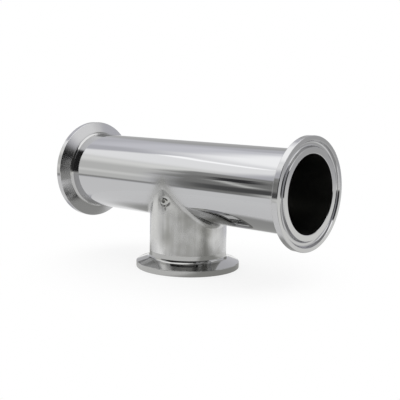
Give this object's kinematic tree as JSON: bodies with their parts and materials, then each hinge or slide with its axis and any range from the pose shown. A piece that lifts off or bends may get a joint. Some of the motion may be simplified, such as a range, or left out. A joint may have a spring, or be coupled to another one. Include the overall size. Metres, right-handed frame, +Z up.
{
  "type": "sanitary tee",
  "caption": "Polished stainless tube tee with a straight run, a short branch and a clamp ferrule with a gasket groove on each mouth.",
  "frame": {"origin": "centre of the branch mouth's face, on which the tee stands", "axes": "+X along the run, +Z up from the branch mouth to the run, +Y across both"},
  "size_m": [0.14, 0.0506, 0.0677],
  "materials": {
    "polished_steel": "polished run, satin branch, fine-turned ferrules"
  },
  "bodies": {
    "root": {"sanitary_tee": "polished_steel"}
  },
  "joints": []
}
